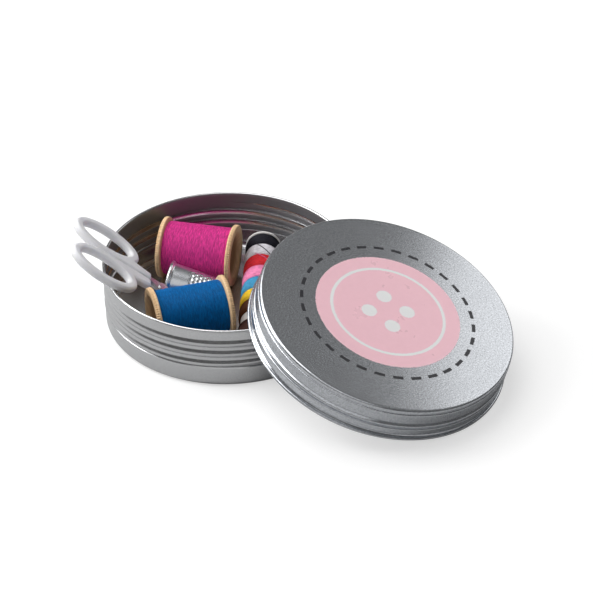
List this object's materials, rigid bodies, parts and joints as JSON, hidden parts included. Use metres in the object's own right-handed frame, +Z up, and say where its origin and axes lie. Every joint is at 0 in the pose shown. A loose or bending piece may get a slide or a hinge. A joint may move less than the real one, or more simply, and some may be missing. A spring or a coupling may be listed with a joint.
{
  "type": "sewing tin",
  "caption": "Round screw-top aluminium sewing tin standing open, with spools of thread, thimble, small scissors and a card tube of coloured threads inside and its lid leaning on the rim.",
  "frame": {"origin": "centre of the tin's underside, on the surface it stands on", "axes": "+Z up; +X from the tin's centre towards the centre of the leaning lid; +Y completes a right-handed frame"},
  "size_m": [0.1473, 0.0866, 0.0376],
  "materials": {
    "tin_metal": "satin",
    "lid_metal": "satin",
    "spool_wood": "bare, turned",
    "magenta_cotton": "sewing thread",
    "blue_cotton": "sewing thread",
    "thimble_metal": "plated",
    "handle_plastic": "milky, translucent",
    "blade_steel": "brushed",
    "card": "matt",
    "black_cotton": "sewing thread",
    "white_cotton": "sewing thread",
    "red_cotton": "sewing thread",
    "pink_cotton": "sewing thread",
    "light_blue_cotton": "sewing thread",
    "yellow_cotton": "sewing thread",
    "brown_cotton": "sewing thread",
    "dark_brown_cotton": "sewing thread"
  },
  "bodies": {
    "tin": {"tin_base": "tin_metal"},
    "lid": {"lid": "lid_metal"},
    "magenta_reel": {"magenta_spool": "spool_wood", "magenta_thread": "magenta_cotton"},
    "blue_reel": {"blue_spool": "spool_wood", "blue_thread": "blue_cotton"},
    "thimble": {"thimble": "thimble_metal"},
    "scissors_far_half": {"scissors_far_handle": "handle_plastic", "scissors_far_blade": "blade_steel"},
    "scissors_near_half": {"scissors_near_handle": "handle_plastic", "scissors_near_blade": "blade_steel", "scissors_rivet": "blade_steel"},
    "thread_tube": {"thread_tube": "card", "black_thread": "black_cotton", "white_thread": "white_cotton", "red_thread": "red_cotton", "pink_thread": "pink_cotton", "light_blue_thread": "light_blue_cotton", "yellow_thread": "yellow_cotton", "brown_thread": "brown_cotton", "dark_brown_thread": "dark_brown_cotton"}
  },
  "joints": [
    {"name": "lid_lift", "type": "slide", "parent": "tin", "child": "lid", "axis": [0, 0, 1], "range_m": [0, 0.06]},
    {"name": "magenta_reel_lift", "type": "slide", "parent": "tin", "child": "magenta_reel", "axis": [0, 0, 1], "range_m": [0, 0.045]},
    {"name": "blue_reel_lift", "type": "slide", "parent": "tin", "child": "blue_reel", "axis": [0, 0, 1], "range_m": [0, 0.045]},
    {"name": "thimble_lift", "type": "slide", "parent": "tin", "child": "thimble", "axis": [0, 0, 1], "range_m": [0, 0.045]},
    {"name": "thread_tube_lift", "type": "slide", "parent": "tin", "child": "thread_tube", "axis": [0, 0, 1], "range_m": [0, 0.008]},
    {"name": "scissors_slide", "type": "slide", "parent": "tin", "child": "scissors_far_half", "axis": [-0.6408, -0.4454, 0.6252], "range_m": [0, 0.04]},
    {"name": "scissors_pivot", "type": "hinge", "parent": "scissors_far_half", "child": "scissors_near_half", "pos_m": [-0.01558, -0.01607, 0.01305], "axis": [0.5134, 0.3568, 0.7804], "range_deg": [0, 5]}
  ]
}
